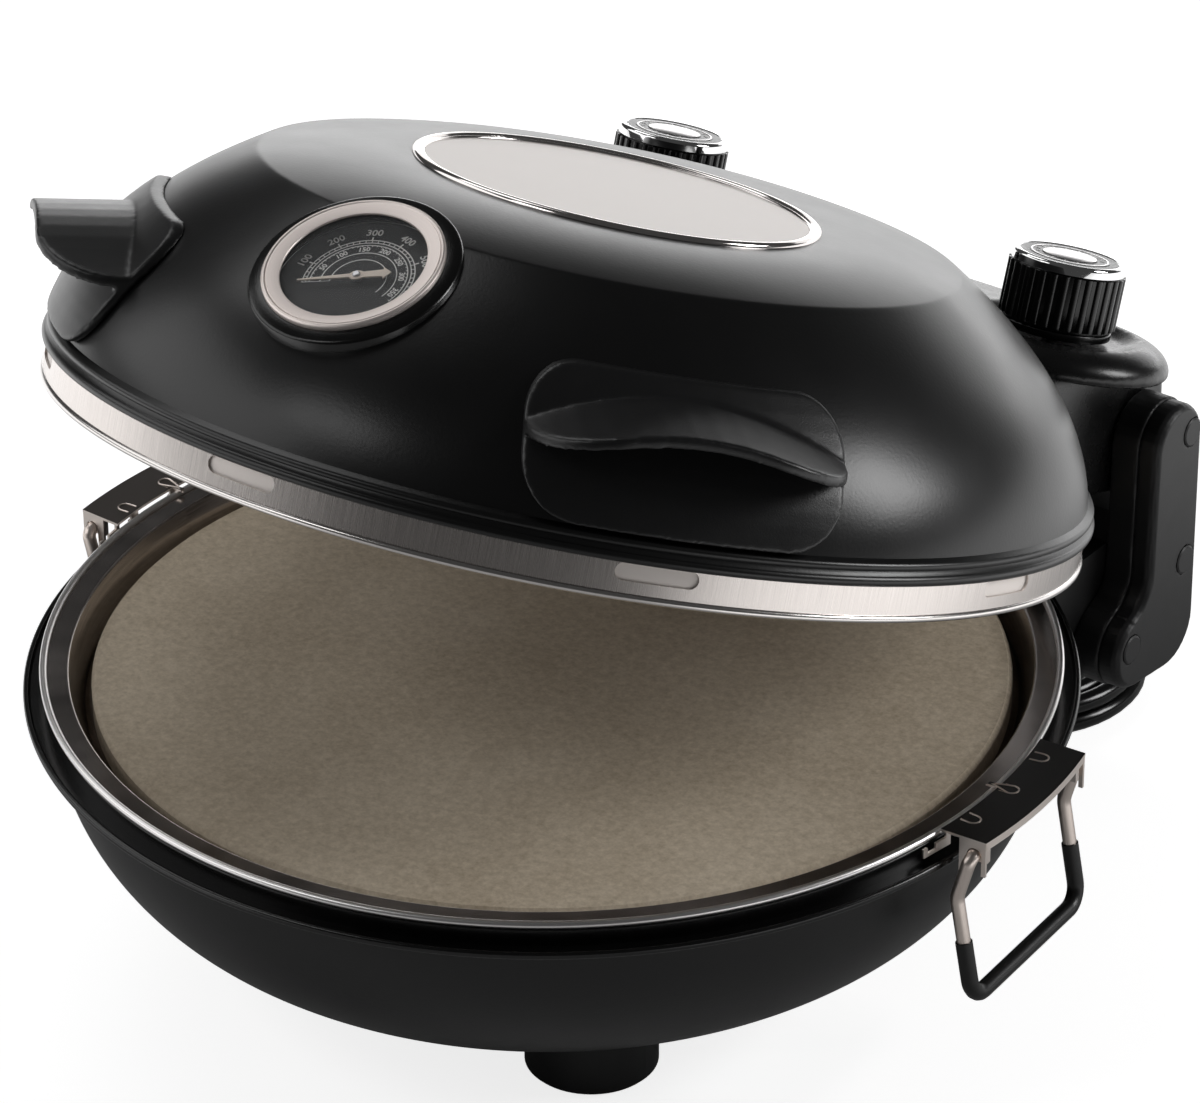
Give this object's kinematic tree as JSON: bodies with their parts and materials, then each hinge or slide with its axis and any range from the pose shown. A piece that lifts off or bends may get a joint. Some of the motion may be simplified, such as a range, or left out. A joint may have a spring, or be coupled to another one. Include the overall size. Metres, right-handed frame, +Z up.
{
  "type": "electric pizza maker",
  "caption": "Round countertop cooker: black bowl on feet with a lift-out pan and stone, and a hinged dome lid with window, dial thermometer, side grips and rear controls",
  "frame": {"origin": "centre of the footprint on the surface it stands on, measured without the cord", "axes": "X to the right as seen from the front, Y towards the hinge at the back, Z up"},
  "size_m": [0.3724, 0.4475, 0.2939],
  "materials": {
    "bowl_paint": "satin black enamel",
    "lid_paint": "satin black enamel",
    "rim_black": "black heat-proof moulding",
    "black_plastic": "fine matt black moulding",
    "grey_plastic": "dark grey matt moulding",
    "knob_plastic": "ridged black moulding",
    "face_grey": "dark grey face with silver disc",
    "steel": "brushed stainless sheet",
    "pan_steel": "stainless pan, heat-toned",
    "liner_steel": "bright aluminised sheet",
    "bracket_paint": "black steel plate with bare steel ears",
    "wire_steel": "bare steel wire",
    "sleeve_rubber": "black sleeve",
    "bezel_chrome": "polished",
    "window_glass": "grey reflective glass",
    "lens_glass": "clear",
    "dial_black": "printed dial",
    "gauge_steel": "brushed bezel",
    "needle_cream": "cream pointer",
    "stone": "cordierite stone",
    "heater": "dark oxidised tube",
    "zinc": "plated",
    "foot_rubber": "anti-slip pads",
    "cord_black": "glossy black sheath",
    "pin_brass": "plated pins",
    "bush_brass": "plain bushes",
    "block_cream": "heat-proof connector"
  },
  "bodies": {
    "base": {"base_bowl": "bowl_paint", "base_rim": "rim_black", "base_liner": "liner_steel", "lower_element": "heater", "element_clips": "zinc", "foot_sleeves": "black_plastic", "foot_pads": "foot_rubber", "rear_housing": "black_plastic", "rear_cover": "black_plastic", "terminal_block": "block_cream", "hinge_arm_left": "black_plastic", "hinge_arm_right": "black_plastic", "arm_cover_left": "grey_plastic", "arm_cover_right": "grey_plastic", "arm_caps": "grey_plastic", "hinge_pins": "zinc", "base_screws": "zinc", "strain_relief": "sleeve_rubber", "cord_run": "cord_black", "cord_coil": "cord_black", "plug_body": "cord_black", "plug_pins": "pin_brass"},
    "pan": {"pan": "pan_steel", "pan_bracket_left": "bracket_paint", "pan_bracket_right": "bracket_paint"},
    "stone": {"baking_stone": "stone"},
    "bail_left": {"bail_wire_left": "wire_steel", "bail_sleeve_left": "sleeve_rubber"},
    "bail_right": {"bail_wire_right": "wire_steel", "bail_sleeve_right": "sleeve_rubber"},
    "lid": {"lid_shell": "lid_paint", "lid_band": "steel", "lid_liner": "liner_steel", "upper_element": "heater", "upper_clips": "zinc", "window_bezel": "bezel_chrome", "window_glass": "window_glass", "gauge_collar": "black_plastic", "gauge_bezel": "gauge_steel", "gauge_dial": "dial_black", "gauge_lens": "lens_glass", "gauge_stem": "zinc", "grip_left": "grey_plastic", "grip_right": "grey_plastic", "control_housing": "black_plastic", "housing_cover": "black_plastic", "hinge_bushes": "bush_brass", "thermostat": "block_cream", "timer": "zinc", "lid_screws": "zinc"},
    "needle": {"gauge_needle": "needle_cream"},
    "timer_knob": {"timer_knob": "knob_plastic", "timer_knob_ring": "bezel_chrome", "timer_knob_cap": "face_grey"},
    "thermostat_knob": {"thermostat_knob": "knob_plastic", "thermostat_knob_ring": "bezel_chrome", "thermostat_knob_cap": "face_grey"}
  },
  "joints": [
    {"name": "lid_hinge", "type": "hinge", "parent": "base", "child": "lid", "pos_m": [0, 0.1795, 0.119], "axis": [-1, 0, 0], "range_deg": [-18.9, 71.1]},
    {"name": "pan_lift", "type": "slide", "parent": "base", "child": "pan", "axis": [0, 0, 1], "range_m": [0, 0.01]},
    {"name": "stone_lift", "type": "slide", "parent": "pan", "child": "stone", "axis": [0, 0, 1], "range_m": [0, 0.03]},
    {"name": "bail_swing_left", "type": "hinge", "parent": "pan", "child": "bail_left", "pos_m": [-0.17908, -0.01393, 0.1005], "axis": [0.0366, 0.9993, 0], "range_deg": [-4, 110]},
    {"name": "bail_swing_right", "type": "hinge", "parent": "pan", "child": "bail_right", "pos_m": [0.17876, -0.008, 0.1005], "axis": [0.0698, -0.9976, 0], "range_deg": [-4, 110]},
    {"name": "timer_turn", "type": "hinge", "parent": "lid", "child": "timer_knob", "pos_m": [-0.0828, 0.15352, 0.1799], "axis": [0, -0.3239, -0.9461], "range_deg": [0, 330]},
    {"name": "thermostat_turn", "type": "hinge", "parent": "lid", "child": "thermostat_knob", "pos_m": [0.0828, 0.15352, 0.1799], "axis": [0, -0.3239, -0.9461], "range_deg": [0, 270]},
    {"name": "needle_turn", "type": "hinge", "parent": "lid", "child": "needle", "pos_m": [0, -0.11717, 0.28547], "axis": [0, 0.3024, -0.9532], "range_deg": [0, 230], "stiffness_Nm_per_rad": 0.0002}
  ]
}
